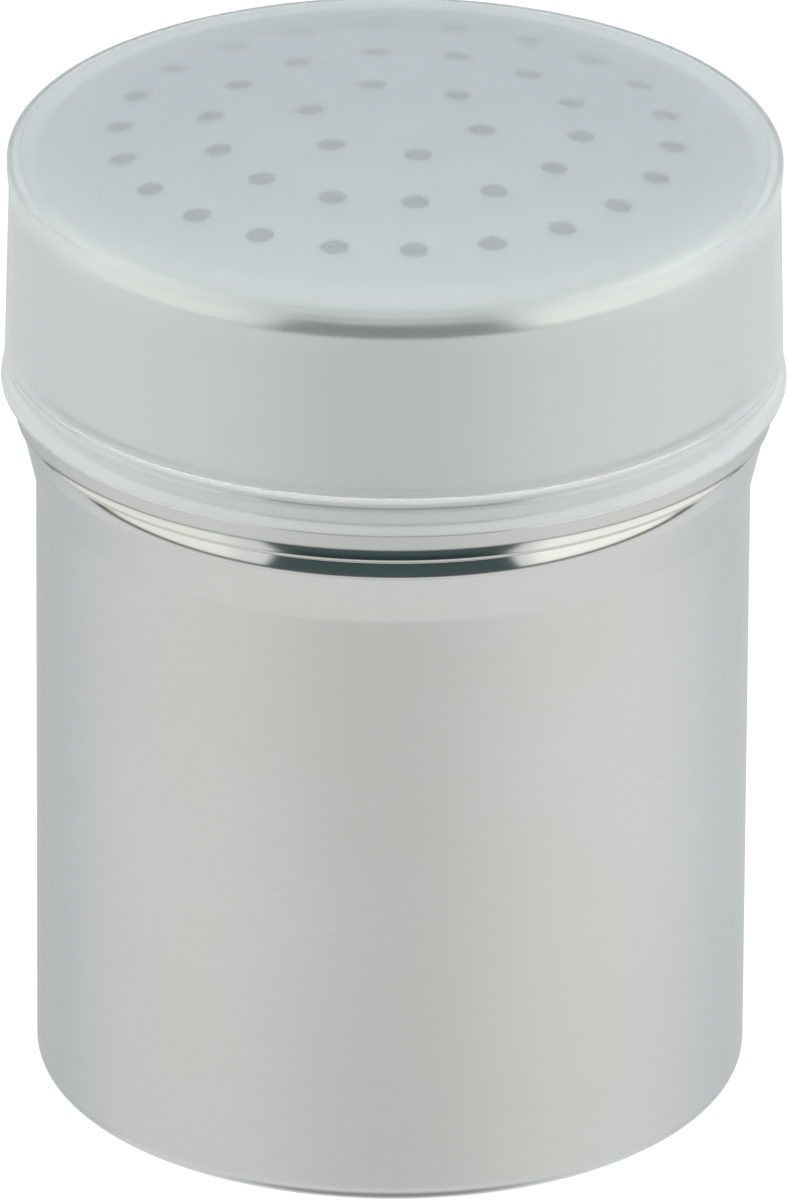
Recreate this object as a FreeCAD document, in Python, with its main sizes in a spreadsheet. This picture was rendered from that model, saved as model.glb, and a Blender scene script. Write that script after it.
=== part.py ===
"""Table shaker: a drawn steel cup, a perforated push-on lid and a milky plastic cap over it.

Every piece is a body of revolution about Z. The cup stands on z = 0. Lengths are in
millimetres, and angles in degrees.
"""
import FreeCAD, Part
import math
import os

import Sketcher

LENGTHS = {
    # cup: a drawn sheet with a swaged ring below its neck
    "body_radius": 33.05,
    "cup_sheet": 0.5,
    "heel_radius": 2.0,
    "foot_ring_width": 4.2,
    "base_recess": 0.6,
    "base_bend": 1.5,
    "crest_height": 64.2,
    "crest_swell": 1.1,
    "crest_radius": 0.8,
    "flare_blend": 3.0,
    "shoulder_radius": 8.0,
    "shoulder_drop": 0.4,
    # lid: a skirt that slides over the neck, a flared lip with a rounded edge, and a domed top
    "lid_sheet": 0.6,
    "lid_clearance": 0.25,
    "lip_gap": 1.95,
    "lip_radius": 3.2,
    "skirt_height": 19.7,
    "lid_corner_radius": 4.3,
    "dome_rise": 2.8,
    "hole_diameter": 2.5,
    # cap: a thin moulded cover that slides over the lid, with a bead inside its flared mouth
    "cap_clearance": 0.2,
    "cap_wall": 0.7,
    "cap_top_wall": 0.7,
    "cap_dome_gap": 0.3,
    "cap_draft": 0.4,
    "cap_mouth_gap": 1.25,
    "cap_edge_radius": 1.3,
    "cap_inner_edge_radius": 0.8,
    "cap_rim_swell": 0.2,
    "cap_rim_radius": 12.0,
    "bead_height": 2.9,
    "bead_swell": 0.35,
    "bead_radius": 1.0,
    "band_swell": 0.36,
    "band_radius": 14.0,
    "mouth_round": 0.3,
}

# slopes are measured from upright, and each ring's turn is that of its first hole from X
ANGLES = {
    "flare_angle": 13.0,
    "shoulder_angle": 12.5,
    "lip_angle": 27.0,
    "outer_ring_turn": 12.2,
    "middle_ring_turn": 19.1,
    "inner_ring_turn": 44.8,
}

COUNTS = {
    "outer_ring_count": 22,
    "middle_ring_count": 14,
    "inner_ring_count": 6,
}

# what is worked out as a part of another size: the rings of holes follow the domed top,
# and the neck's rim stops at this part of its clearance from the lid's rounded corner
SHARES = {
    "outer_ring_share": 0.838,
    "middle_ring_share": 0.564,
    "inner_ring_share": 0.271,
    "rim_seat_share": 0.5,
}

# places worked out from the sizes: _x is a radius from the axis and _z a height
PLACES = {
    # cup base: a flat ring to stand on, and a centre that is pressed up in an S bend
    "cup_inner_x": "body_radius - cup_sheet",
    "heel_x": "body_radius - heel_radius",
    "heel_bend_inner": "heel_radius - cup_sheet",
    "foot_x": "heel_x - foot_ring_width",
    "bend_cos": "1 - base_recess / (2 * base_bend)",
    "bend_sin": "sqrt(1 - bend_cos * bend_cos)",
    "recess_x": "foot_x - 2 * base_bend * bend_sin",
    "bend_x": "foot_x - base_bend * bend_sin",
    "bend_z": "base_recess / 2",
    "bend_small": "base_bend - cup_sheet",
    "bend_large": "base_bend + cup_sheet",
    "bend_inner_x": "bend_x + cup_sheet * bend_sin",
    "bend_inner_z": "bend_z + cup_sheet * bend_cos",
    "floor_z": "base_recess + cup_sheet",
    # cup flare: a cone, blended into the wall below it and rounded over at the crest above it
    "crest_x": "body_radius + crest_swell",
    "flare_cos": "cos(flare_angle)",
    "flare_sin": "sin(flare_angle)",
    "flare_x": "body_radius + flare_blend * (1 - flare_cos)",
    "crest_low_x": "crest_x - crest_radius * (1 - flare_cos)",
    "crest_low_z": "crest_height - crest_radius * flare_sin",
    "flare_z": "crest_low_z - (crest_low_x - flare_x) * flare_cos / flare_sin",
    "wall_top_z": "flare_z - flare_blend * flare_sin",
    "blend_inner_radius": "flare_blend + cup_sheet",
    "crest_inner_radius": "crest_radius - cup_sheet",
    "flare_inner_x": "flare_x - cup_sheet * flare_cos",
    "flare_inner_z": "flare_z + cup_sheet * flare_sin",
    "crest_low_inner_x": "crest_low_x - cup_sheet * flare_cos",
    "crest_low_inner_z": "crest_low_z + cup_sheet * flare_sin",
    # cup shoulder: an arc from the crest in to the neck
    "shoulder_cos": "cos(shoulder_angle)",
    "shoulder_sin": "sin(shoulder_angle)",
    "crest_high_x": "crest_x - crest_radius * (1 - shoulder_cos)",
    "crest_high_z": "crest_height + crest_radius * shoulder_sin",
    "crest_high_inner_x": "crest_high_x - cup_sheet * shoulder_cos",
    "crest_high_inner_z": "crest_high_z - cup_sheet * shoulder_sin",
    "shoulder_centre_x": "crest_high_x - shoulder_radius * shoulder_cos",
    "shoulder_centre_z": "crest_high_z - shoulder_radius * shoulder_sin",
    "shoulder_inner_radius": "shoulder_radius - cup_sheet",
    "neck_x": "crest_x - shoulder_drop",
    "neck_inner_x": "neck_x - cup_sheet",
    "shoulder_z": "shoulder_centre_z"
                  " + sqrt(pow(shoulder_radius; 2) - pow(neck_x - shoulder_centre_x; 2))",
    "shoulder_inner_z": "shoulder_centre_z + sqrt(pow(shoulder_inner_radius; 2)"
                        " - pow(neck_inner_x - shoulder_centre_x; 2))",
    # lid: the lip flares from upright, and its edge is round from face to face
    "skirt_inner_x": "neck_x + lid_clearance",
    "skirt_x": "skirt_inner_x + lid_sheet",
    "lip_cos": "cos(lip_angle)",
    "lip_sin": "sin(lip_angle)",
    "lip_round": "lid_sheet / 2",
    "lip_outer_bend": "lip_radius + lid_sheet",
    "lip_tip_z": "crest_height + lip_gap",
    "lip_x": "skirt_x + lip_radius * (1 - lip_cos)",
    "lip_z": "lip_tip_z + lip_round * (lip_sin + lip_cos)",
    "lip_tip_x": "lip_x - lip_round * (lip_cos - lip_sin)",
    "lip_inner_x": "lip_x - lid_sheet * lip_cos",
    "lip_inner_z": "lip_z - lid_sheet * lip_sin",
    "lip_top_z": "lip_z + lip_radius * lip_sin",
    "corner_z": "lip_top_z + skirt_height",
    "corner_x": "skirt_x - lid_corner_radius",
    "corner_inner_radius": "lid_corner_radius - lid_sheet",
    # lid dome: its centre lies on the axis, and it runs tangent into the corner
    "dome_apex_z": "corner_z + lid_corner_radius + dome_rise",
    "dome_radius": "(corner_x * corner_x + pow(lid_corner_radius + dome_rise; 2)"
                   " - pow(lid_corner_radius; 2)) / (2 * dome_rise)",
    "dome_centre_z": "dome_apex_z - dome_radius",
    "dome_reach": "dome_radius - lid_corner_radius",
    "dome_cos": "(corner_z - dome_centre_z) / dome_reach",
    "dome_sin": "corner_x / dome_reach",
    "dome_x": "dome_radius * dome_sin",
    "dome_z": "dome_centre_z + dome_radius * dome_cos",
    "dome_inner_radius": "dome_radius - lid_sheet",
    "dome_inner_x": "dome_inner_radius * dome_sin",
    "dome_inner_z": "dome_centre_z + dome_inner_radius * dome_cos",
    "dome_inner_apex_z": "dome_apex_z - lid_sheet",
    "outer_ring_radius": "outer_ring_share * corner_x",
    "middle_ring_radius": "middle_ring_share * corner_x",
    "inner_ring_radius": "inner_ring_share * corner_x",
    # cup rim: it stops inside the lid's rounded corner
    "rim_z": "corner_z + sqrt(pow(corner_inner_radius - rim_seat_share * lid_clearance; 2)"
             " - pow(corner_inner_radius - lid_clearance; 2))",
    # cap dome, inside and outside, about the centre of the lid's dome
    "cap_top_inner_radius": "dome_radius + cap_dome_gap",
    "cap_top_radius": "cap_top_inner_radius + cap_top_wall",
    "cap_apex_inner_z": "dome_apex_z + cap_dome_gap",
    "cap_apex_z": "cap_apex_inner_z + cap_top_wall",
    # cap wall: narrowest under the rim, and wider towards the mouth
    "cap_inner_x": "skirt_x + cap_clearance",
    "cap_waist_x": "cap_inner_x + cap_wall",
    "cap_foot_x": "cap_waist_x + cap_draft",
    "cap_foot_inner_x": "cap_inner_x + cap_draft",
    "cap_rim_x": "cap_waist_x + cap_rim_swell",
    "cap_edge_x": "cap_rim_x - cap_edge_radius",
    "cap_edge_reach": "cap_top_radius - cap_edge_radius",
    "cap_edge_sin": "cap_edge_x / cap_edge_reach",
    "cap_edge_cos": "sqrt(1 - cap_edge_sin * cap_edge_sin)",
    "cap_edge_z": "dome_centre_z + cap_edge_reach * cap_edge_cos",
    "cap_top_x": "cap_top_radius * cap_edge_sin",
    "cap_top_z": "dome_centre_z + cap_top_radius * cap_edge_cos",
    "cap_inner_edge_x": "cap_inner_x - cap_inner_edge_radius",
    "cap_inner_edge_reach": "cap_top_inner_radius - cap_inner_edge_radius",
    "cap_inner_edge_sin": "cap_inner_edge_x / cap_inner_edge_reach",
    "cap_inner_edge_cos": "sqrt(1 - cap_inner_edge_sin * cap_inner_edge_sin)",
    "cap_inner_edge_z": "dome_centre_z + cap_inner_edge_reach * cap_inner_edge_cos",
    "cap_ceiling_x": "cap_top_inner_radius * cap_inner_edge_sin",
    "cap_ceiling_z": "dome_centre_z + cap_top_inner_radius * cap_inner_edge_cos",
    "cap_waist_z": "cap_edge_z - sqrt(pow(cap_rim_radius; 2) - pow(cap_rim_radius - cap_rim_swell; 2))",
    # cap band: an arc that leaves the wall upright and flares out to the mouth
    "band_x": "cap_foot_x + band_swell",
    "band_inner_x": "band_x - cap_wall",
    "mouth_z": "lip_top_z + cap_mouth_gap",
    "mouth_round_z": "mouth_z + mouth_round",
    "band_z": "mouth_round_z + sqrt(pow(band_radius; 2) - pow(band_radius - band_swell; 2))",
    "mouth_outer_x": "band_x - mouth_round",
    "mouth_inner_x": "band_inner_x + mouth_round",
    # cap bead: a low rib round the inside, above the mouth
    "bead_half": "sqrt(pow(bead_radius; 2) - pow(bead_radius - bead_swell; 2))",
    "bead_top_z": "mouth_z + bead_height + bead_half",
    "bead_bottom_z": "mouth_z + bead_height - bead_half",
}

# an arc bulges to the left of the way that the outline is drawn, or to its right
LEFT = True
RIGHT = False

# outlines in the XZ plane, drawn round the section: each row is a corner's radius and height,
# and the arc that leads to it from the corner before, or None for a straight line
CUP_OUTLINE = (
    (None, "base_recess", None),
    ("recess_x", "base_recess", None),
    ("bend_x", "bend_z", ("base_bend", LEFT)),
    ("foot_x", None, ("base_bend", RIGHT)),
    ("heel_x", None, None),
    ("body_radius", "heel_radius", ("heel_radius", RIGHT)),
    ("body_radius", "wall_top_z", None),
    ("flare_x", "flare_z", ("flare_blend", LEFT)),
    ("crest_low_x", "crest_low_z", None),
    ("crest_high_x", "crest_high_z", ("crest_radius", RIGHT)),
    ("neck_x", "shoulder_z", ("shoulder_radius", RIGHT)),
    ("neck_x", "rim_z", None),
    ("neck_inner_x", "rim_z", None),
    ("neck_inner_x", "shoulder_inner_z", None),
    ("crest_high_inner_x", "crest_high_inner_z", ("shoulder_inner_radius", LEFT)),
    ("crest_low_inner_x", "crest_low_inner_z", ("crest_inner_radius", LEFT)),
    ("flare_inner_x", "flare_inner_z", None),
    ("cup_inner_x", "wall_top_z", ("blend_inner_radius", RIGHT)),
    ("cup_inner_x", "heel_radius", None),
    ("heel_x", "cup_sheet", ("heel_bend_inner", LEFT)),
    ("foot_x", "cup_sheet", None),
    ("bend_inner_x", "bend_inner_z", ("bend_small", LEFT)),
    ("recess_x", "floor_z", ("bend_large", RIGHT)),
    (None, "floor_z", None),
)

LID_OUTLINE = (
    (None, "dome_inner_apex_z", None),
    ("dome_inner_x", "dome_inner_z", ("dome_inner_radius", LEFT)),
    ("skirt_inner_x", "corner_z", ("corner_inner_radius", LEFT)),
    ("skirt_inner_x", "lip_top_z", None),
    ("lip_inner_x", "lip_inner_z", ("lip_outer_bend", RIGHT)),
    ("lip_tip_x", "lip_tip_z", ("lip_round", RIGHT)),
    ("lip_x", "lip_z", ("lip_round", RIGHT)),
    ("skirt_x", "lip_top_z", ("lip_radius", LEFT)),
    ("skirt_x", "corner_z", None),
    ("dome_x", "dome_z", ("lid_corner_radius", RIGHT)),
    (None, "dome_apex_z", ("dome_radius", RIGHT)),
)

CAP_OUTLINE = (
    (None, "cap_apex_inner_z", None),
    ("cap_ceiling_x", "cap_ceiling_z", ("cap_top_inner_radius", LEFT)),
    ("cap_inner_x", "cap_inner_edge_z", ("cap_inner_edge_radius", LEFT)),
    ("cap_foot_inner_x", "bead_top_z", None),
    ("cap_foot_inner_x", "bead_bottom_z", ("bead_radius", RIGHT)),
    ("band_inner_x", "mouth_round_z", None),
    ("mouth_inner_x", "mouth_z", ("mouth_round", RIGHT)),
    ("mouth_outer_x", "mouth_z", None),
    ("band_x", "mouth_round_z", ("mouth_round", RIGHT)),
    ("cap_foot_x", "band_z", ("band_radius", LEFT)),
    ("cap_waist_x", "cap_waist_z", None),
    ("cap_rim_x", "cap_edge_z", ("cap_rim_radius", RIGHT)),
    ("cap_top_x", "cap_top_z", ("cap_edge_radius", RIGHT)),
    (None, "cap_apex_z", ("cap_top_radius", RIGHT)),
)

# how a sketch counts its own origin, its axes and the ends and centre of a line or an arc
ORIGIN_INDEXES = (-1, 1)
H_AXIS_INDEX = -1
V_AXIS_INDEX = -2
START_INDEX = 1
END_INDEX = 2
CENTRE_INDEX = 3


def size_sheet(doc):
    """The sheet that drives the model: plain sizes first, then the places worked out from them."""
    sheet = doc.addObject("Spreadsheet::Sheet", "Sizes")
    driving = {**LENGTHS, **ANGLES, **COUNTS, **SHARES}
    cells = {alias: str(value) for alias, value in driving.items()}
    cells.update({alias: "=" + formula for alias, formula in PLACES.items()})
    for row, (alias, content) in enumerate(cells.items(), start=1):
        sheet.set(f"A{row}", alias)
        sheet.set(f"B{row}", content)
        sheet.setAlias(f"B{row}", alias)
    doc.recompute()
    return sheet


def origin_plane(body, role):
    return next(item for item in body.Origin.OriginFeatures if item.Role == role)


def add_sketch(body, name, role):
    sketch = body.newObject("Sketcher::SketchObject", name)
    sketch.AttachmentSupport = (origin_plane(body, role), [""])
    sketch.MapMode = "FlatFace"
    return sketch


def bind(sketch, constraint, name, alias):
    """Adds a sized constraint and ties it to a cell of the sheet."""
    index = sketch.addConstraint(constraint)
    sketch.renameConstraint(index, name)
    sketch.setExpression(f"Constraints.{name}", f"Sizes.{alias}")


def arc_through(first, last, radius, to_left):
    """The lesser arc between two points, bulging left or right of the way from first to last."""
    chord = last - first
    half = chord.Length / 2
    sagitta = radius - math.sqrt(max(radius * radius - half * half, 0))
    left = FreeCAD.Vector(-chord.y, chord.x, 0).normalize()
    bulge = left * sagitta if to_left else -left * sagitta
    return Part.Arc(first, first + chord / 2 + bulge, last)


def draw_outline(body, sheet, name, outline):
    """A closed section in the XZ plane, with every corner and radius tied to the sheet."""
    sketch = add_sketch(body, name, "XZ_Plane")

    def place(alias):
        return float(sheet.get(alias)) if alias else 0.0

    points = [FreeCAD.Vector(place(x), place(z), 0) for x, z, arc in outline]
    count = len(points)
    ends = []
    for index in range(count):
        after = (index + 1) % count
        first, last = points[index], points[after]
        arc = outline[after][2]
        if arc:
            radius, to_left = arc
            edge = arc_through(first, last, place(radius), to_left)
        else:
            edge = Part.LineSegment(first, last)
        sketch.addGeometry(edge, False)
        # a sketch turns every arc anticlockwise, so one that bulges left runs backwards
        backwards = arc is not None and arc[1]
        ends.append((END_INDEX, START_INDEX) if backwards else (START_INDEX, END_INDEX))
    for index in range(count):
        after = (index + 1) % count
        rule = Sketcher.Constraint("Coincident", index, ends[index][1], after, ends[after][0])
        sketch.addConstraint(rule)
    for index, (x_alias, z_alias, arc) in enumerate(outline):
        corner = (index, ends[index][0])
        if x_alias:
            rule = Sketcher.Constraint("DistanceX", *ORIGIN_INDEXES, *corner, points[index].x)
            bind(sketch, rule, f"corner{index}_x", x_alias)
        else:
            sketch.addConstraint(Sketcher.Constraint("PointOnObject", *corner, V_AXIS_INDEX))
        if z_alias:
            rule = Sketcher.Constraint("DistanceY", *ORIGIN_INDEXES, *corner, points[index].y)
            bind(sketch, rule, f"corner{index}_z", z_alias)
        else:
            sketch.addConstraint(Sketcher.Constraint("PointOnObject", *corner, H_AXIS_INDEX))
        if arc:
            radius = arc[0]
            before = (index - 1) % count
            rule = Sketcher.Constraint("Radius", before, place(radius))
            bind(sketch, rule, f"arc{index}_radius", radius)
    return sketch


def revolved_body(doc, sheet, label, outline):
    body = doc.addObject("PartDesign::Body", label)
    body.Label = label
    sketch = draw_outline(body, sheet, label + "_section", outline)
    turned = body.newObject("PartDesign::Revolution", label + "_turned")
    turned.Profile = sketch
    turned.ReferenceAxis = (sketch, ["V_Axis"])
    turned.Angle = 360
    doc.recompute()
    return body


def punch_ring(doc, body, sheet, ring):
    """One hole through the dome, repeated round the axis by the ring's own count."""
    before = body.Shape.Volume
    sketch = add_sketch(body, ring + "_hole", "XY_Plane")
    sketch.setExpression("AttachmentOffset.Rotation.Angle", f"Sizes.{ring}_turn")
    pitch = float(sheet.get(ring + "_radius"))
    centre = FreeCAD.Vector(pitch, 0, 0)
    diameter = float(sheet.get("hole_diameter"))
    circle = sketch.addGeometry(Part.Circle(centre, FreeCAD.Vector(0, 0, 1), diameter / 2), False)
    sketch.addConstraint(Sketcher.Constraint("PointOnObject", circle, CENTRE_INDEX, H_AXIS_INDEX))
    rule = Sketcher.Constraint("DistanceX", *ORIGIN_INDEXES, circle, CENTRE_INDEX, pitch)
    bind(sketch, rule, "pitch", ring + "_radius")
    bind(sketch, Sketcher.Constraint("Diameter", circle, diameter), "bore", "hole_diameter")
    hole = body.newObject("PartDesign::Pocket", ring + "_punch")
    hole.Profile = sketch
    hole.Type = "ThroughAll"
    hole.Reversed = True
    doc.recompute()
    pattern = body.newObject("PartDesign::PolarPattern", ring + "_pattern")
    pattern.Originals = [hole]
    pattern.Axis = (sketch, ["N_Axis"])
    pattern.Angle = 360
    pattern.setExpression("Occurrences", f"Sizes.{ring}_count")
    body.Tip = pattern
    doc.recompute()
    removed = before - body.Shape.Volume
    one = math.pi * diameter * diameter / 4 * float(sheet.get("lid_sheet"))
    print(f"{ring}: {removed / one:.1f} holes' worth of sheet removed")
    if removed < one:
        raise RuntimeError(ring + " cut nothing")


def check(doc, bodies):
    for item in doc.Objects:
        if "Invalid" in item.State or "Error" in item.State:
            raise RuntimeError(f"{item.Name} failed: {item.State}")
    for body in bodies:
        shape = body.Shape
        if shape.isNull() or not shape.isValid() or len(shape.Solids) != 1:
            raise RuntimeError(body.Label + " isn't one valid solid")
        box = shape.optimalBoundingBox()
        print(f"{body.Label}: z {box.ZMin:.2f} to {box.ZMax:.2f}, width {box.XLength:.2f},"
              f" volume {shape.Volume:.0f}")


def main():
    doc = FreeCAD.newDocument("table_shaker")
    sheet = size_sheet(doc)
    cup = revolved_body(doc, sheet, "cup", CUP_OUTLINE)
    lid = revolved_body(doc, sheet, "shaker_lid", LID_OUTLINE)
    for ring in ("outer_ring", "middle_ring", "inner_ring"):
        punch_ring(doc, lid, sheet, ring)
    cap = revolved_body(doc, sheet, "dust_cap", CAP_OUTLINE)
    bodies = (cup, lid, cap)
    check(doc, bodies)
    os.makedirs("parts", exist_ok=True)
    for body in bodies:
        body.Shape.exportStep(f"parts/{body.Label}.step")


main()
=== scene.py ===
"""Looks of the table shaker: steel cup, perforated steel lid and milky plastic cap.

Sizes are in millimetres until a mesh is made, and every mesh is in metres.
"""
import math

import bmesh
import bpy
from mathutils import Euler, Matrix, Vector
from mathutils.geometry import delaunay_2d_cdt


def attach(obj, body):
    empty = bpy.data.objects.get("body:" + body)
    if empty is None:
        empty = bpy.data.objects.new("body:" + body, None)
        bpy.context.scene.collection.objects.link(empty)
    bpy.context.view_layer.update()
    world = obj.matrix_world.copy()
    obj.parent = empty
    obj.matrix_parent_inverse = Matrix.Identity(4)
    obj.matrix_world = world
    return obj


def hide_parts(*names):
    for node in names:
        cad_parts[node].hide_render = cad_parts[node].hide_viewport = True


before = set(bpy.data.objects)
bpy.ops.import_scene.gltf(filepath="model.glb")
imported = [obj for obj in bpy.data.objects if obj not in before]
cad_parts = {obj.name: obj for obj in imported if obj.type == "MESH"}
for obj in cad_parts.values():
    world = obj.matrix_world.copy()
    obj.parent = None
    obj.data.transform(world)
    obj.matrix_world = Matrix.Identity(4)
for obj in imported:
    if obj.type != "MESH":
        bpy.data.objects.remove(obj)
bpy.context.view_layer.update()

MM = 0.001

# profile sizes, the same values that drive the solids
BODY_RADIUS = 33.05
CUP_SHEET = 0.5
HEEL_RADIUS = 2.0
FOOT_RING_WIDTH = 4.2
BASE_RECESS = 0.6
BASE_BEND = 1.5
CREST_HEIGHT = 64.2
CREST_SWELL = 1.1
CREST_RADIUS = 0.8
FLARE_ANGLE = math.radians(13)
FLARE_BLEND = 3.0
SHOULDER_ANGLE = math.radians(12.5)
SHOULDER_RADIUS = 8.0
SHOULDER_DROP = 0.4

LID_SHEET = 0.6
LID_CLEARANCE = 0.25
LIP_GAP = 1.95
LIP_ANGLE = math.radians(27)
LIP_RADIUS = 3.2
SKIRT_HEIGHT = 19.7
LID_CORNER_RADIUS = 4.3
DOME_RISE = 2.8
HOLE_DIAMETER = 2.5

CAP_CLEARANCE = 0.2
CAP_WALL = 0.7
CAP_TOP_WALL = 0.7
CAP_DOME_GAP = 0.3
CAP_DRAFT = 0.4
CAP_MOUTH_GAP = 1.25
CAP_EDGE_RADIUS = 1.3
CAP_INNER_EDGE_RADIUS = 0.8
CAP_RIM_SWELL = 0.2
CAP_RIM_RADIUS = 12.0
BEAD_HEIGHT = 2.9
BEAD_SWELL = 0.35
BEAD_RADIUS = 1.0
BAND_SWELL = 0.36
BAND_RADIUS = 14.0
MOUTH_ROUND = 0.3

# rings of holes: how many, pitch radius as a share of the dome's, and the first hole's angle in degrees
RINGS = (
    (22, 0.838, 12.2),
    (14, 0.564, 19.1),
    (6, 0.271, 44.8),
)

# how far round each hole the punch rolled the outer face down
PUNCH_ROUND = 0.22

# fineness of the meshes
TURN_STEPS = 288
ARC_STEP = math.radians(4)
SHARP_ANGLE = math.radians(11)
CUP_FACE_LENGTH = 3.0
TOP_FACE_LENGTH = 2.0
HOLE_STEPS = 40
DOME_GRID = 1.15
DOME_EDGE_FADE = 8
PUNCH_RINGS = 4
PUNCH_CROWDING = 1.5
SAME_POINT = 1e-6
WELD_DISTANCE = 0.002

# the camera that the rims, the base and the rings of holes of the photograph fit
IMAGE_HEIGHT = 1200
CAMERA_DISTANCE = 1844.7
CAMERA_ELEVATION = math.radians(24.914)
CAMERA_ROLL = math.radians(0.354)
FOCAL_PIXELS = 19876.5
SENSOR_SIZE = 36.0
ORBIT_HEIGHT = 45.91
AIM_X = 0.14
AIM_HEIGHT = 46.31
CLIP_START = 50.0
CLIP_END = 20000.0

# soft lamps: name, angle round from the front, elevation, width, height and watts
LAMP_DISTANCE = 600.0
LAMP_AIM_HEIGHT = 80.0
LAMPS = (
    ("lamp_left", -85, 0, 400, 400, 3.0),
    ("lamp_right", 85, 0, 400, 400, 3.0),
    ("lamp_front", 0, 20, 500, 300, 6.0),
)

# the floor
FLOOR_RADIUS = 3000.0
FLOOR_STEPS = 64
FLOOR_LEVEL = 0.3
FLOOR_GLOW = 0.74

# noises are a scale, a detail and a roughness, and specks are a scale, a radius in mm and a share of cells
SPECK_CORE_SHARE = 0.4

# steel: how far the brushing is drawn out round the axis, its lines, its blotches and its specks
BRUSH_DRAW_SHARE = 0.09
BRUSH_EDGE = 0.2
FINE_BRUSH_NOISE = (9000.0, 2.0, 0.6)
COARSE_BRUSH_NOISE = (2600.0, 2.0, 0.5)
FINE_BRUSH_SHARE = 0.6
BRUSH_LEVELS = (0.25, 0.75)
BRUSH_ROUGHNESS = 0.20
BRUSH_BUMP = 0.06
BRUSH_DEPTH = 0.01
BLOTCH_NOISE = (38.0, 3.0, 0.55)
BLOTCH_LEVELS = (0.35, 0.65)
BLOTCH_SHARE = 0.4
BLOTCH_ROUGHNESS = 0.04
STEEL_SPECKS = (75.0, 0.13, 0.16)
DARK_LINE_STEEL = (0.640, 0.653, 0.635, 1)
LIGHT_LINE_STEEL = (0.678, 0.691, 0.675, 1)
BLOTCH_STEEL = (0.635, 0.640, 0.617, 1)
SPECK_STEEL = (0.40, 0.41, 0.39, 1)
POLISHED_STEEL = (0.645, 0.66, 0.64, 1)
# painted shade: over this height the steel's colour darkens towards the foot, down to this share of its
# tone
FOOT_SHADE_HEIGHT = 30.0
FOOT_SHADE_SHARE = 0.965
CUP_POLISH = 0.10
CUP_TONE = 1.0
LID_BRUSHED_TO = 0.0
LID_POLISH = 0.14
LID_TONE = 0.96

# plastic: clear is the share of light that passes a face, and heights are above the corner or the mouth
CLOUD_NOISE = (60.0, 3.0, 0.5)
CLOUD_LEVELS = (0.3, 0.7)
CLOUD_ROUGHNESS = 0.01
HAZE_HEIGHTS = (2.3, 6.0)
CAP_WALL_COLOURS = ((0.945, 0.970, 0.965, 1), (0.960, 0.978, 0.978, 1))
CAP_TOP_COLOURS = ((0.785, 0.85, 0.86, 1), (0.815, 0.875, 0.885, 1))
CAP_SPECKS = (130.0, 0.11, 0.2)
CAP_SPECK_COLOUR = (0.45, 0.47, 0.46, 1)
WALL_CLEAR = 0.975
WALL_SLANT_LOSS = 0.2
WALL_ROUGHNESS = 0.235
BAND_HEIGHTS = (1.5, 9)
BAND_CLEAR = 0.945
TOP_SLANTS = (0.4, 0.8)
TOP_CLEARS = (0.79, 0.87)
TOP_ROUGHNESS = 0.25
BEAD_LINE_HEIGHT = 3.55
BEAD_LINE_WIDTHS = (0.1, 0.5)
BEAD_LINE_CLEAR = 0.86
MOUTH_LINE_HEIGHTS = (0.15, 0.4)
MOUTH_LINE_CLEAR = 0.9
PLASTIC_IOR = 1.4

# the studio that the steel mirrors, in degrees round from the front and up from level
BACK_WALL_TURNS = (100, 130)
FRONT_WALL = (0.95, 0.96, 0.95, 1)
BACK_WALL = (1.05, 1.09, 1.12, 1)
BOX_LEAN = 0.07
BOX_NEAR_TURNS = (42, 50)
BOX_FAR_TURNS = (95, 120)
BOX_TOPS = (30, 45)
BOX_AZIMUTHS = (-60, 60)
LEFT_BOX = (1.18, 1.16, 1.10, 1)
RIGHT_BOX = (1.34, 1.32, 1.26, 1)
GAP_LEAN = 0.14
GAP_EDGES = (37, 40)
GAP_TOPS = (34, 38)
GAP_SHADE_HEIGHTS = (12, 27)
LOW_GAP = (0.075, 0.11, 0.11, 1)
HIGH_GAP = (0.022, 0.042, 0.045, 1)
TABLE_FRONT_TURNS = (0, 62)
TABLE_FRONT_LEVELS = (0.76, 0.905)
TABLE_BACK_TURNS = (90, 150)
TABLE_BACK_LOSS = 0.19
TABLE_SLOPE = 0.0004
TABLE_NEAR_HEIGHTS = (-48, -32)
TABLE_NEAR_LEVEL = 0.95
TABLE_HIDDEN_HEIGHTS = (-75, -62)
TABLE_HIDDEN_SHARE = 0.35
TABLE_TINT_TURNS = (80, 140)
TABLE_TINTS = ((1.0, 1.01, 0.99, 1), (0.96, 1.0, 1.03, 1))
HORIZON_HEIGHTS = (-1.0, -0.3)
TABLE_EDGE_TOPS = (1.4, 2.4)
TABLE_EDGE = (0.06, 0.075, 0.075, 1)

# the side to which an arc bulges, seen along its way
LEFT = 1
RIGHT = -1


def reach(radius, drop):
    """How far along an arc of this radius goes while it moves across by drop from its tangent."""
    return math.sqrt(radius * radius - (radius - drop) ** 2)


class Outline:
    """A section in the radius and height plane, drawn corner by corner, with arcs sampled finely."""

    def __init__(self, radius, height):
        self.points = [(radius, height)]

    def line(self, radius, height):
        self.points.append((radius, height))

    def arc(self, radius, height, bend, side):
        """An arc to the new corner, bulging to the LEFT or RIGHT of the way there."""
        x0, z0 = self.points[-1]
        dx, dz = radius - x0, height - z0
        chord = math.hypot(dx, dz)
        rise = math.sqrt(max(bend * bend - chord * chord / 4, 0))
        centre_x = x0 + dx / 2 + dz / chord * rise * side
        centre_z = z0 + dz / 2 - dx / chord * rise * side
        start = math.atan2(z0 - centre_z, x0 - centre_x)
        sweep = -side * 2 * math.asin(min(chord / (2 * bend), 1))
        steps = max(2, math.ceil(abs(sweep) / ARC_STEP))
        for step in range(1, steps):
            angle = start + sweep * step / steps
            self.points.append((centre_x + bend * math.cos(angle), centre_z + bend * math.sin(angle)))
        self.points.append((radius, height))


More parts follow.
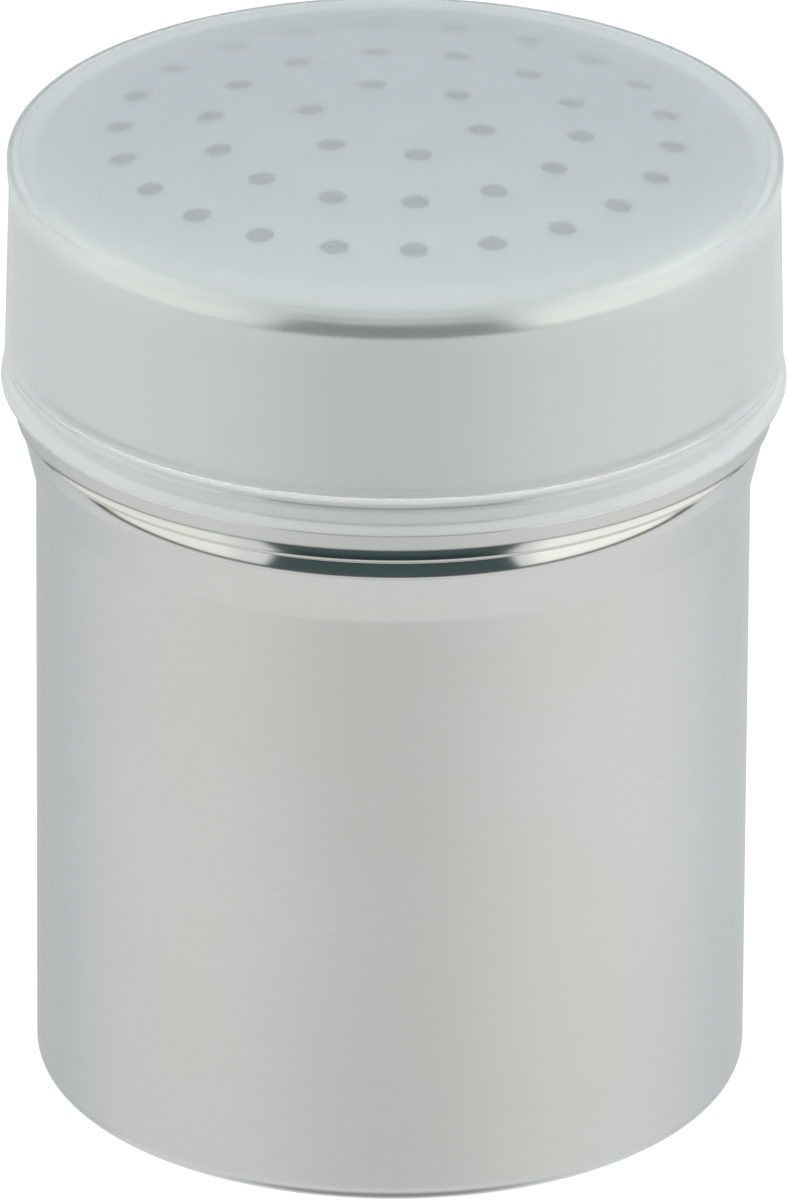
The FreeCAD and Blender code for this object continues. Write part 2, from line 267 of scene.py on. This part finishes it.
# places that more than one piece needs
crest_x = BODY_RADIUS + CREST_SWELL
neck_x = crest_x - SHOULDER_DROP
skirt_inner_x = neck_x + LID_CLEARANCE
skirt_x = skirt_inner_x + LID_SHEET
lip_cos, lip_sin = math.cos(LIP_ANGLE), math.sin(LIP_ANGLE)
lip_round = LID_SHEET / 2
lip_tip_z = CREST_HEIGHT + LIP_GAP
lip_z = lip_tip_z + lip_round * (lip_sin + lip_cos)
lip_top_z = lip_z + LIP_RADIUS * lip_sin
corner_z = lip_top_z + SKIRT_HEIGHT
corner_x = skirt_x - LID_CORNER_RADIUS
corner_inner_radius = LID_CORNER_RADIUS - LID_SHEET
apex_z = corner_z + LID_CORNER_RADIUS + DOME_RISE
dome_radius = (
    corner_x ** 2 + (LID_CORNER_RADIUS + DOME_RISE) ** 2 - LID_CORNER_RADIUS ** 2
) / (2 * DOME_RISE)
dome_centre_z = apex_z - dome_radius
dome_reach = dome_radius - LID_CORNER_RADIUS
dome_sin = corner_x / dome_reach
dome_cos = (corner_z - dome_centre_z) / dome_reach
mouth_z = lip_top_z + CAP_MOUTH_GAP
# the cup's neck ends half a clearance short of the inside of the lid's rounded corner
rim_z = corner_z + math.sqrt(
    (corner_inner_radius - LID_CLEARANCE / 2) ** 2 - (corner_inner_radius - LID_CLEARANCE) ** 2
)


def cup_outline():
    heel_x = BODY_RADIUS - HEEL_RADIUS
    foot_x = heel_x - FOOT_RING_WIDTH
    bend_cos = 1 - BASE_RECESS / (2 * BASE_BEND)
    bend_sin = math.sqrt(1 - bend_cos ** 2)
    recess_x = foot_x - 2 * BASE_BEND * bend_sin
    bend_x = foot_x - BASE_BEND * bend_sin
    bend_z = BASE_RECESS / 2
    floor_z = BASE_RECESS + CUP_SHEET
    flare_cos, flare_sin = math.cos(FLARE_ANGLE), math.sin(FLARE_ANGLE)
    flare_x = BODY_RADIUS + FLARE_BLEND * (1 - flare_cos)
    crest_low_x = crest_x - CREST_RADIUS * (1 - flare_cos)
    crest_low_z = CREST_HEIGHT - CREST_RADIUS * flare_sin
    flare_z = crest_low_z - (crest_low_x - flare_x) / math.tan(FLARE_ANGLE)
    wall_top_z = flare_z - FLARE_BLEND * flare_sin
    shoulder_cos, shoulder_sin = math.cos(SHOULDER_ANGLE), math.sin(SHOULDER_ANGLE)
    crest_high_x = crest_x - CREST_RADIUS * (1 - shoulder_cos)
    crest_high_z = CREST_HEIGHT + CREST_RADIUS * shoulder_sin
    shoulder_centre_x = crest_high_x - SHOULDER_RADIUS * shoulder_cos
    shoulder_centre_z = crest_high_z - SHOULDER_RADIUS * shoulder_sin
    shoulder_z = shoulder_centre_z + math.sqrt(SHOULDER_RADIUS ** 2 - (neck_x - shoulder_centre_x) ** 2)
    inner_x = BODY_RADIUS - CUP_SHEET
    neck_inner_x = neck_x - CUP_SHEET
    shoulder_inner_radius = SHOULDER_RADIUS - CUP_SHEET
    shoulder_inner_z = shoulder_centre_z + math.sqrt(
        shoulder_inner_radius ** 2 - (neck_inner_x - shoulder_centre_x) ** 2
    )
    path = Outline(0, BASE_RECESS)
    path.line(recess_x, BASE_RECESS)
    path.arc(bend_x, bend_z, BASE_BEND, LEFT)
    path.arc(foot_x, 0, BASE_BEND, RIGHT)
    path.line(heel_x, 0)
    path.arc(BODY_RADIUS, HEEL_RADIUS, HEEL_RADIUS, RIGHT)
    path.line(BODY_RADIUS, wall_top_z)
    path.arc(flare_x, flare_z, FLARE_BLEND, LEFT)
    path.line(crest_low_x, crest_low_z)
    path.arc(crest_high_x, crest_high_z, CREST_RADIUS, RIGHT)
    path.arc(neck_x, shoulder_z, SHOULDER_RADIUS, RIGHT)
    path.line(neck_x, rim_z)
    path.line(neck_inner_x, rim_z)
    path.line(neck_inner_x, shoulder_inner_z)
    path.arc(
        crest_high_x - CUP_SHEET * shoulder_cos,
        crest_high_z - CUP_SHEET * shoulder_sin,
        shoulder_inner_radius,
        LEFT,
    )
    path.arc(
        crest_low_x - CUP_SHEET * flare_cos,
        crest_low_z + CUP_SHEET * flare_sin,
        CREST_RADIUS - CUP_SHEET,
        LEFT,
    )
    path.line(flare_x - CUP_SHEET * flare_cos, flare_z + CUP_SHEET * flare_sin)
    path.arc(inner_x, wall_top_z, FLARE_BLEND + CUP_SHEET, RIGHT)
    path.line(inner_x, HEEL_RADIUS)
    path.arc(heel_x, CUP_SHEET, HEEL_RADIUS - CUP_SHEET, LEFT)
    path.line(foot_x, CUP_SHEET)
    path.arc(bend_x + CUP_SHEET * bend_sin, bend_z + CUP_SHEET * bend_cos, BASE_BEND - CUP_SHEET, LEFT)
    path.arc(recess_x, floor_z, BASE_BEND + CUP_SHEET, RIGHT)
    path.line(0, floor_z)
    return path.points


def lid_outline():
    """The lid below its dome: from the dome's inner edge down the skirt, round the lip and back up."""
    dome_inner_radius = dome_radius - LID_SHEET
    path = Outline(dome_inner_radius * dome_sin, dome_centre_z + dome_inner_radius * dome_cos)
    path.arc(skirt_inner_x, corner_z, corner_inner_radius, LEFT)
    path.line(skirt_inner_x, lip_top_z)
    lip_x = skirt_x + LIP_RADIUS * (1 - lip_cos)
    path.arc(lip_x - LID_SHEET * lip_cos, lip_z - LID_SHEET * lip_sin, LIP_RADIUS + LID_SHEET, RIGHT)
    lip_tip_x = lip_x - lip_round * (lip_cos - lip_sin)
    path.arc(lip_tip_x, lip_tip_z, lip_round, RIGHT)
    path.arc(lip_x, lip_z, lip_round, RIGHT)
    path.arc(skirt_x, lip_top_z, LIP_RADIUS, LEFT)
    path.line(skirt_x, corner_z)
    path.arc(dome_radius * dome_sin, dome_centre_z + dome_radius * dome_cos, LID_CORNER_RADIUS, RIGHT)
    return path.points


def cap_outline():
    inner_dome = dome_radius + CAP_DOME_GAP
    outer_dome = inner_dome + CAP_TOP_WALL
    inner_x = skirt_x + CAP_CLEARANCE
    waist_x = inner_x + CAP_WALL
    foot_x = waist_x + CAP_DRAFT
    rim_x = waist_x + CAP_RIM_SWELL
    edge_reach = outer_dome - CAP_EDGE_RADIUS
    edge_sin = (rim_x - CAP_EDGE_RADIUS) / edge_reach
    edge_cos = math.sqrt(1 - edge_sin ** 2)
    edge_z = dome_centre_z + edge_reach * edge_cos
    inner_reach = inner_dome - CAP_INNER_EDGE_RADIUS
    inner_sin = (inner_x - CAP_INNER_EDGE_RADIUS) / inner_reach
    inner_cos = math.sqrt(1 - inner_sin ** 2)
    band_x = foot_x + BAND_SWELL
    mouth_round_z = mouth_z + MOUTH_ROUND
    band_z = mouth_round_z + reach(BAND_RADIUS, BAND_SWELL)
    band_inner_x = band_x - CAP_WALL
    bead_z = mouth_z + BEAD_HEIGHT
    bead_half = reach(BEAD_RADIUS, BEAD_SWELL)
    path = Outline(0, dome_centre_z + inner_dome)
    path.arc(inner_dome * inner_sin, dome_centre_z + inner_dome * inner_cos, inner_dome, LEFT)
    path.arc(inner_x, dome_centre_z + inner_reach * inner_cos, CAP_INNER_EDGE_RADIUS, LEFT)
    path.line(inner_x + CAP_DRAFT, bead_z + bead_half)
    path.arc(inner_x + CAP_DRAFT, bead_z - bead_half, BEAD_RADIUS, RIGHT)
    path.line(band_inner_x, mouth_round_z)
    path.arc(band_inner_x + MOUTH_ROUND, mouth_z, MOUTH_ROUND, RIGHT)
    path.line(band_x - MOUTH_ROUND, mouth_z)
    path.arc(band_x, mouth_round_z, MOUTH_ROUND, RIGHT)
    path.arc(foot_x, band_z, BAND_RADIUS, LEFT)
    path.line(waist_x, edge_z - reach(CAP_RIM_RADIUS, CAP_RIM_SWELL))
    path.arc(rim_x, edge_z, CAP_RIM_RADIUS, RIGHT)
    path.arc(outer_dome * edge_sin, dome_centre_z + outer_dome * edge_cos, CAP_EDGE_RADIUS, RIGHT)
    path.arc(0, dome_centre_z + outer_dome, outer_dome, RIGHT)
    return path.points


def split_long_runs(points, longest):
    """Adds points along the outline, so that no two neighbours lie further apart than longest."""
    dense = [points[0]]
    for (x0, z0), (x1, z1) in zip(points, points[1:]):
        parts = max(1, math.ceil(math.hypot(x1 - x0, z1 - z0) / longest))
        for part in range(1, parts + 1):
            share = part / parts
            dense.append((x0 + (x1 - x0) * share, z0 + (z1 - z0) * share))
    return dense


def lathe(bm, points):
    """Turns an outline about Z. A point on the axis is one vertex, and the faces point outward."""
    rings = []
    for radius, height in points:
        if radius == 0:
            rings.append([bm.verts.new((0, 0, height * MM))])
            continue
        ring = []
        for step in range(TURN_STEPS):
            angle = math.tau * step / TURN_STEPS
            place = (radius * math.cos(angle) * MM, radius * math.sin(angle) * MM, height * MM)
            ring.append(bm.verts.new(place))
        rings.append(ring)
    for low, high in zip(rings, rings[1:]):
        for step in range(TURN_STEPS):
            after = (step + 1) % TURN_STEPS
            if len(low) == 1:
                bm.faces.new((low[0], high[after], high[step]))
            elif len(high) == 1:
                bm.faces.new((low[step], low[after], high[0]))
            else:
                bm.faces.new((low[step], low[after], high[after], high[step]))


def hole_centres():
    """Every hole's centre over the dome."""
    centres = []
    for count, share, turn in RINGS:
        pitch = share * corner_x
        for number in range(count):
            angle = math.radians(turn) + math.tau * number / count
            centres.append(Vector((pitch * math.cos(angle), pitch * math.sin(angle))))
    return centres


def punch_depth(distance):
    """How far the dome's outer face rolls down at a distance from a hole's wall."""
    if distance >= PUNCH_ROUND:
        return 0.0
    left = PUNCH_ROUND - distance
    return PUNCH_ROUND - math.sqrt(PUNCH_ROUND ** 2 - left ** 2)


def punched_dome(bm):
    """The domed sheet with its holes. Its two edges meet the lathed corner's outer and inner rings."""
    edge_x = dome_radius * dome_sin
    hole_radius = HOLE_DIAMETER / 2
    flat, edges, drops = [], [], []

    def add_circle(centre, radius, steps, drop):
        first = len(flat)
        for step in range(steps):
            angle = math.tau * step / steps
            flat.append(centre + Vector((math.cos(angle), math.sin(angle))) * radius)
            drops.append(drop)
        edges.extend((first + step, first + (step + 1) % steps) for step in range(steps))

    add_circle(Vector((0, 0)), edge_x, TURN_STEPS, 0.0)
    centres = hole_centres()
    for centre in centres:
        for ring in range(PUNCH_RINGS + 1):
            away = PUNCH_ROUND * (ring / PUNCH_RINGS) ** PUNCH_CROWDING
            add_circle(centre, hole_radius + away, HOLE_STEPS, punch_depth(away))
    # rings of points fill the sheet, clear of the holes
    clear = hole_radius + PUNCH_ROUND + DOME_GRID / 3
    rounds = int(edge_x / DOME_GRID)
    for ring in range(rounds):
        radius = edge_x * ring / rounds
        steps = max(1, round(math.tau * radius / DOME_GRID))
        for step in range(steps):
            angle = math.tau * (step + ring % 2 / 2) / steps
            point = Vector((radius * math.cos(angle), radius * math.sin(angle)))
            if all((point - centre).length > clear for centre in centres):
                flat.append(point)
                drops.append(0.0)
    placed, _, triangles, sources, _, _ = delaunay_2d_cdt(flat, edges, [], 1, SAME_POINT)
    drop_of = [max((drops[origin] for origin in origins), default=0.0) for origins in sources]

    def lifted(point, drop, sphere):
        radius = point.length
        height = dome_centre_z + math.sqrt(sphere ** 2 - radius ** 2) - drop
        return Vector((point.x, point.y, height)) * MM

    inner_sphere = dome_radius - LID_SHEET
    edge_shift = inner_sphere * dome_sin / edge_x - 1
    top = [bm.verts.new(lifted(point, drop_of[index], dome_radius)) for index, point in enumerate(placed)]
    under = []
    for point in placed:
        # the inner face draws in towards its smaller edge
        shift = edge_shift * (point.length / edge_x) ** DOME_EDGE_FADE
        under.append(bm.verts.new(lifted(point * (1 + shift), 0.0, inner_sphere)))
    used = {}
    for triangle in triangles:
        middle = sum((placed[corner] for corner in triangle), Vector((0, 0))) / 3
        if any((middle - centre).length < hole_radius for centre in centres):
            continue
        bm.faces.new([top[corner] for corner in triangle])
        bm.faces.new([under[corner] for corner in reversed(triangle)])
        for start, end in zip(triangle, [*triangle[1:], triangle[0]]):
            used[(start, end)] = True
    # each hole gets its wall, and the dome's outer edge stays open for the corner
    near_edge = edge_x - DOME_GRID / 4
    for start, end in used:
        if (end, start) in used:
            continue
        if placed[start].length > near_edge and placed[end].length > near_edge:
            continue
        bm.faces.new((top[end], top[start], under[start], under[end]))


def new_piece(name, build, material, body, node):
    """A mesh piece made by build, smooth but for its real edges, that stands for a CAD node."""
    bm = bmesh.new()
    build(bm)
    bmesh.ops.remove_doubles(bm, verts=bm.verts, dist=WELD_DISTANCE * MM)
    loose = [vert for vert in bm.verts if not vert.link_faces]
    bmesh.ops.delete(bm, geom=loose, context="VERTS")
    bmesh.ops.recalc_face_normals(bm, faces=bm.faces)
    mesh = bpy.data.meshes.new(name)
    bm.to_mesh(mesh)
    bm.free()
    mesh.shade_smooth()
    mesh.set_sharp_from_angle(angle=SHARP_ANGLE)
    piece = bpy.data.objects.new(name, mesh)
    bpy.context.scene.collection.objects.link(piece)
    mesh.materials.append(material)
    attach(piece, body)
    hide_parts(node)
    return piece


def build_cup(bm):
    lathe(bm, split_long_runs(cup_outline(), CUP_FACE_LENGTH))


def build_lid(bm):
    lathe(bm, split_long_runs(lid_outline(), TOP_FACE_LENGTH))
    punched_dome(bm)


def build_cap(bm):
    lathe(bm, split_long_runs(cap_outline(), TOP_FACE_LENGTH))


class Nodes:
    """A material's or world's nodes, made and linked with little writing."""

    def __init__(self, tree):
        self.tree = tree
        self.tree.nodes.clear()

    def add(self, kind, **settings):
        node = self.tree.nodes.new(kind)
        for name, value in settings.items():
            setattr(node, name, value)
        return node

    def link(self, source, target):
        self.tree.links.new(source, target)

    def value(self, target, value):
        """Puts a plain number, a colour or another node's output on a socket."""
        if isinstance(value, bpy.types.NodeSocket):
            self.link(value, target)
        else:
            target.default_value = value

    def math(self, operation, first, second=0.0):
        node = self.add("ShaderNodeMath", operation=operation)
        for socket, value in zip(node.inputs, (first, second)):
            self.value(socket, value)
        return node.outputs[0]

    def noise(self, vector, scale, detail, roughness):
        node = self.add("ShaderNodeTexNoise")
        self.link(vector, node.inputs["Vector"])
        node.inputs["Scale"].default_value = scale
        node.inputs["Detail"].default_value = detail
        node.inputs["Roughness"].default_value = roughness
        return node.outputs["Fac"]

    def span(self, value, low, high, to_low, to_high):
        """Goes smoothly from to_low to to_high while the value goes from low to high."""
        node = self.add("ShaderNodeMapRange")
        node.clamp = True
        node.interpolation_type = "SMOOTHSTEP"
        self.value(node.inputs["Value"], value)
        ends = {"From Min": low, "From Max": high, "To Min": to_low, "To Max": to_high}
        for name, number in ends.items():
            self.value(node.inputs[name], number)
        return node.outputs["Result"]

    def rise(self, value, ends):
        """Goes smoothly from 0 to 1 between two ends."""
        return self.span(value, *ends, 0.0, 1.0)

    def fall(self, value, ends):
        """Goes smoothly from 1 to 0 between two ends."""
        return self.span(value, *ends, 1.0, 0.0)

    def specks(self, vector, scale, radius, share):
        """Small round specks of this radius in mm, in a share of the cells of this scale."""
        cells = self.add("ShaderNodeTexVoronoi")
        self.link(vector, cells.inputs["Vector"])
        cells.inputs["Scale"].default_value = scale
        chance = self.add("ShaderNodeSeparateColor")
        self.link(cells.outputs["Color"], chance.inputs[0])
        size = radius * MM * scale
        dot = self.fall(cells.outputs["Distance"], (size * SPECK_CORE_SHARE, size))
        return self.math("MULTIPLY", dot, self.math("LESS_THAN", chance.outputs[0], share))

    def mix_number(self, share, first, second):
        node = self.add("ShaderNodeMix", data_type="FLOAT")
        self.value(node.inputs["Factor"], share)
        self.value(node.inputs[2], first)
        self.value(node.inputs[3], second)
        return node.outputs[0]

    def mix_colour(self, share, first, second, blend="MIX"):
        node = self.add("ShaderNodeMix", data_type="RGBA", blend_type=blend)
        self.value(node.inputs["Factor"], share)
        self.value(node.inputs[6], first)
        self.value(node.inputs[7], second)
        return node.outputs[2]


def grey(level):
    return (level, level, level, 1.0)


def above(base, heights):
    """Heights above a base height, in metres."""
    return [(base + height) * MM for height in heights]


def new_material(name):
    """A material with one main shader: the material, its nodes and that shader."""
    material = bpy.data.materials.new(name)
    material.use_nodes = True
    nodes = Nodes(material.node_tree)
    shader = nodes.add("ShaderNodeBsdfPrincipled")
    output = nodes.add("ShaderNodeOutputMaterial")
    nodes.link(shader.outputs[0], output.inputs[0])
    return material, nodes, shader


def lathe_coordinates(nodes):
    """The place on the object, and the same place as an angle round the axis, a radius and a height."""
    place = nodes.add("ShaderNodeTexCoord").outputs["Object"]
    parts = nodes.add("ShaderNodeSeparateXYZ")
    nodes.link(place, parts.inputs[0])
    angle = nodes.math("ARCTAN2", parts.outputs["Y"], parts.outputs["X"])
    squares = [nodes.math("MULTIPLY", parts.outputs[side], parts.outputs[side]) for side in "XY"]
    radius = nodes.math("SQRT", nodes.math("ADD", *squares))
    return place, angle, radius, parts.outputs["Z"]


def steel_material(name, brushed_to, polish, tone):
    """Drawn stainless steel: fine rings of brushing up to a height, and polished above it."""
    material, nodes, shader = new_material(name)
    place, angle, radius, height = lathe_coordinates(nodes)
    brushed = nodes.fall(height, above(brushed_to, (-BRUSH_EDGE, BRUSH_EDGE)))

    # brush lines run round the axis: long along the angle, and far finer along radius and height
    rings = nodes.add("ShaderNodeCombineXYZ")
    nodes.link(nodes.math("MULTIPLY", angle, BODY_RADIUS * MM * BRUSH_DRAW_SHARE), rings.inputs[0])
    nodes.link(radius, rings.inputs[1])
    nodes.link(height, rings.inputs[2])
    fine = nodes.noise(rings.outputs[0], *FINE_BRUSH_NOISE)
    coarse = nodes.noise(rings.outputs[0], *COARSE_BRUSH_NOISE)
    blotch = nodes.noise(place, *BLOTCH_NOISE)
    fine = nodes.math("MULTIPLY", fine, FINE_BRUSH_SHARE)
    coarse = nodes.math("MULTIPLY", coarse, 1 - FINE_BRUSH_SHARE)
    lines = nodes.math("MULTIPLY", nodes.math("ADD", fine, coarse), brushed)

    colour = nodes.mix_colour(nodes.rise(lines, BRUSH_LEVELS), DARK_LINE_STEEL, LIGHT_LINE_STEEL)
    colour = nodes.mix_colour(nodes.span(blotch, *BLOTCH_LEVELS, 0.0, BLOTCH_SHARE), colour, BLOTCH_STEEL)
    colour = nodes.mix_colour(nodes.specks(place, *STEEL_SPECKS), colour, SPECK_STEEL)
    colour = nodes.mix_colour(brushed, POLISHED_STEEL, colour)
    # painted shade: the colour darkens a little towards the foot, where the steel mirrors the table's
    # shade near the base
    tone_and_foot_shade = nodes.span(height, 0.0, FOOT_SHADE_HEIGHT * MM, FOOT_SHADE_SHARE * tone, tone)
    nodes.link(nodes.mix_colour(1.0, colour, tone_and_foot_shade, "MULTIPLY"), shader.inputs["Base Color"])
    shader.inputs["Metallic"].default_value = 1.0

    rough = nodes.math("ADD", nodes.math("MULTIPLY", brushed, BRUSH_ROUGHNESS), polish)
    uneven = nodes.math("MULTIPLY", nodes.math("SUBTRACT", blotch, 0.5), BLOTCH_ROUGHNESS)
    nodes.link(nodes.math("ADD", rough, uneven), shader.inputs["Roughness"])
    bump = nodes.add("ShaderNodeBump")
    nodes.link(nodes.math("MULTIPLY", brushed, BRUSH_BUMP), bump.inputs["Strength"])
    bump.inputs["Distance"].default_value = BRUSH_DEPTH * MM
    nodes.link(lines, bump.inputs["Height"])
    nodes.link(bump.outputs[0], shader.inputs["Normal"])
    return material


def cap_material():
    """Milky translucent plastic: a soft-edged view of what lies behind, under a smooth skin."""
    material, nodes, shader = new_material("cap_plastic")
    place = nodes.add("ShaderNodeTexCoord").outputs["Object"]
    parts = nodes.add("ShaderNodeSeparateXYZ")
    nodes.link(place, parts.inputs[0])
    height = parts.outputs["Z"]
    cloud = nodes.noise(place, *CLOUD_NOISE)
    haze = nodes.rise(height, above(corner_z, HAZE_HEIGHTS))
    wall = nodes.mix_colour(cloud, *CAP_WALL_COLOURS)
    top = nodes.mix_colour(cloud, *CAP_TOP_COLOURS)
    colour = nodes.mix_colour(haze, wall, top)
    colour = nodes.mix_colour(nodes.specks(place, *CAP_SPECKS), colour, CAP_SPECK_COLOUR)
    nodes.link(colour, shader.inputs["Base Color"])

    # the wall is milkier at a slant, where the way through it is longer, and in the band at the mouth
    slant = nodes.add("ShaderNodeLayerWeight")
    slant.inputs["Blend"].default_value = 0.5
    facing = slant.outputs["Facing"]
    clear = nodes.math("SUBTRACT", WALL_CLEAR, nodes.math("MULTIPLY", facing, WALL_SLANT_LOSS))
    band = nodes.span(height, *above(mouth_z, BAND_HEIGHTS), BAND_CLEAR, 1.0)
    clear = nodes.math("MINIMUM", clear, band)
    # the top is milkier still, but its gloss veils what lies below at a slant, so it clears there
    clear = nodes.mix_number(haze, clear, nodes.span(facing, *TOP_SLANTS, *TOP_CLEARS))
    # the bead and the edge of the mouth are thicker, which makes each a milky line
    from_bead = nodes.math("SUBTRACT", height, (mouth_z + BEAD_LINE_HEIGHT) * MM)
    from_bead = nodes.math("ABSOLUTE", from_bead)
    bead_line = nodes.span(from_bead, *above(0.0, BEAD_LINE_WIDTHS), BEAD_LINE_CLEAR, 1.0)
    clear = nodes.math("MINIMUM", clear, bead_line)
    mouth_line = nodes.span(height, *above(mouth_z, MOUTH_LINE_HEIGHTS), MOUTH_LINE_CLEAR, 1.0)
    clear = nodes.math("MINIMUM", clear, mouth_line)
    nodes.link(clear, shader.inputs["Transmission Weight"])
    shader.inputs["IOR"].default_value = PLASTIC_IOR

    rough = nodes.span(haze, 0.0, 1.0, WALL_ROUGHNESS, TOP_ROUGHNESS)
    uneven = nodes.span(cloud, *CLOUD_LEVELS, -CLOUD_ROUGHNESS, CLOUD_ROUGHNESS)
    nodes.link(nodes.math("ADD", rough, uneven), shader.inputs["Roughness"])
    return material


def floor_material():
    """A plain pale floor, glowing enough to look white, that still takes the shaker's shadow."""
    material = bpy.data.materials.new("floor_white")
    material.use_nodes = True
    nodes = Nodes(material.node_tree)
    matt = nodes.add("ShaderNodeBsdfDiffuse")
    matt.inputs["Color"].default_value = grey(FLOOR_LEVEL)
    glow = nodes.add("ShaderNodeEmission")
    glow.inputs["Strength"].default_value = FLOOR_GLOW
    both = nodes.add("ShaderNodeAddShader")
    nodes.link(matt.outputs[0], both.inputs[0])
    nodes.link(glow.outputs[0], both.inputs[1])
    output = nodes.add("ShaderNodeOutputMaterial")
    nodes.link(both.outputs[0], output.inputs[0])
    return material


def make_floor():
    bm = bmesh.new()
    bmesh.ops.create_circle(bm, cap_ends=True, segments=FLOOR_STEPS, radius=FLOOR_RADIUS * MM)
    mesh = bpy.data.meshes.new("floor")
    bm.to_mesh(mesh)
    bm.free()
    floor = bpy.data.objects.new("floor", mesh)
    bpy.context.scene.collection.objects.link(floor)
    mesh.materials.append(floor_material())
    # steel and plastic show the world's lower half instead, which stands for the lit table
    floor.visible_glossy = False
    floor.visible_transmission = False


def studio_walls(nodes, azimuth, turn, height):
    """Walls and ceiling, with a soft box at each side and the dark gap in front."""
    lean = nodes.math("ADD", turn, nodes.math("MULTIPLY", azimuth, BOX_LEAN))
    side = nodes.math("MULTIPLY", nodes.rise(lean, BOX_NEAR_TURNS), nodes.fall(turn, BOX_FAR_TURNS))
    side = nodes.math("MULTIPLY", side, nodes.fall(height, BOX_TOPS))
    walls = nodes.mix_colour(nodes.rise(turn, BACK_WALL_TURNS), FRONT_WALL, BACK_WALL)
    box = nodes.mix_colour(nodes.rise(azimuth, BOX_AZIMUTHS), LEFT_BOX, RIGHT_BOX)
    walls = nodes.mix_colour(side, walls, box)
    edge = nodes.math("ADD", turn, nodes.math("MULTIPLY", height, GAP_LEAN))
    gap = nodes.math("MULTIPLY", nodes.fall(edge, GAP_EDGES), nodes.fall(height, GAP_TOPS))
    dark = nodes.mix_colour(nodes.rise(height, GAP_SHADE_HEIGHTS), LOW_GAP, HIGH_GAP)
    return nodes.mix_colour(gap, walls, dark)


def studio_table(nodes, azimuth, turn, height):
    """The table: bright to the sides, greyer in front and behind, and dark where the shaker hides it."""
    loss = nodes.span(turn, *TABLE_BACK_TURNS, 0.0, TABLE_BACK_LOSS)
    level = nodes.math("SUBTRACT", nodes.span(turn, *TABLE_FRONT_TURNS, *TABLE_FRONT_LEVELS), loss)
    sideways = nodes.math("ADD", nodes.math("MULTIPLY", azimuth, TABLE_SLOPE), 1.0)
    level = nodes.math("MULTIPLY", level, sideways)
    near = nodes.span(height, *TABLE_NEAR_HEIGHTS, TABLE_NEAR_LEVEL, 0.0)
    level = nodes.math("MAXIMUM", level, near)
    hidden = nodes.span(height, *TABLE_HIDDEN_HEIGHTS, TABLE_HIDDEN_SHARE, 1.0)
    level = nodes.math("MULTIPLY", level, hidden)
    tint = nodes.mix_colour(nodes.rise(turn, TABLE_TINT_TURNS), *TABLE_TINTS)
    return nodes.mix_colour(1.0, tint, level, "MULTIPLY")


def make_world():
    """A white studio with a dark gap low in front, where the photographer stands."""
    world = bpy.data.worlds.new("studio")
    bpy.context.scene.world = world
    world.use_nodes = True
    nodes = Nodes(world.node_tree)
    direction = nodes.add("ShaderNodeTexCoord").outputs["Generated"]
    parts = nodes.add("ShaderNodeSeparateXYZ")
    nodes.link(direction, parts.inputs[0])
    degrees = 180 / math.pi
    ahead = nodes.math("MULTIPLY", parts.outputs["Y"], -1.0)
    azimuth = nodes.math("MULTIPLY", nodes.math("ARCTAN2", parts.outputs["X"], ahead), degrees)
    height = nodes.math("MULTIPLY", nodes.math("ARCSINE", parts.outputs["Z"]), degrees)
    turn = nodes.math("ABSOLUTE", azimuth)
    walls = studio_walls(nodes, azimuth, turn, height)
    table = studio_table(nodes, azimuth, turn, height)
    over_table = nodes.rise(height, HORIZON_HEIGHTS)
    colour = nodes.mix_colour(over_table, table, walls)
    line = nodes.math("MULTIPLY", over_table, nodes.fall(height, TABLE_EDGE_TOPS))
    colour = nodes.mix_colour(line, colour, TABLE_EDGE)

    path = nodes.add("ShaderNodeLightPath")
    seen = nodes.mix_colour(path.outputs["Is Camera Ray"], colour, grey(1.0))
    background = nodes.add("ShaderNodeBackground")
    nodes.link(seen, background.inputs["Color"])
    output = nodes.add("ShaderNodeOutputWorld")
    nodes.link(background.outputs[0], output.inputs[0])


def make_lamps():
    """Soft lamps that bring out the milkiness of the plastic. The steel mirrors the world instead."""
    aim = Vector((0, 0, LAMP_AIM_HEIGHT))
    for name, turn, elevation, width, height, power in LAMPS:
        lamp = bpy.data.lights.new(name, "AREA")
        lamp.shape = "RECTANGLE"
        lamp.size, lamp.size_y = width * MM, height * MM
        lamp.energy = power
        holder = bpy.data.objects.new(name, lamp)
        bpy.context.scene.collection.objects.link(holder)
        turn, elevation = math.radians(turn), math.radians(elevation)
        flat = math.cos(elevation)
        way = Vector((math.sin(turn) * flat, -math.cos(turn) * flat, math.sin(elevation)))
        holder.location = (aim + way * LAMP_DISTANCE) * MM
        holder.rotation_euler = (-way).to_track_quat("-Z", "Y").to_euler()
        holder.visible_glossy = False
        holder.visible_transmission = False


def make_camera():
    data = bpy.data.cameras.new("camera")
    data.sensor_width = SENSOR_SIZE
    data.lens = FOCAL_PIXELS * SENSOR_SIZE / IMAGE_HEIGHT
    data.clip_start = CLIP_START * MM
    data.clip_end = CLIP_END * MM
    camera = bpy.data.objects.new("camera", data)
    bpy.context.scene.collection.objects.link(camera)
    bpy.context.scene.camera = camera
    out = CAMERA_DISTANCE * math.cos(CAMERA_ELEVATION)
    up = ORBIT_HEIGHT + CAMERA_DISTANCE * math.sin(CAMERA_ELEVATION)
    camera.location = Vector((0, -out, up)) * MM
    look = Vector((AIM_X, 0, AIM_HEIGHT)) * MM - camera.location
    turn = look.to_track_quat("-Z", "Y") @ Euler((0, 0, CAMERA_ROLL)).to_quaternion()
    camera.rotation_mode = "QUATERNION"
    camera.rotation_quaternion = turn


bpy.context.scene.view_settings.view_transform = "Standard"
make_camera()
make_world()
make_floor()
make_lamps()
cup_steel = steel_material("cup_steel", CREST_HEIGHT, CUP_POLISH, CUP_TONE)
new_piece("cup_shell", build_cup, cup_steel, "cup", "cup")
lid_steel = steel_material("lid_steel", LID_BRUSHED_TO, LID_POLISH, LID_TONE)
new_piece("lid_shell", build_lid, lid_steel, "lid", "shaker_lid")
new_piece("cap_shell", build_cap, cap_material(), "cap", "dust_cap")
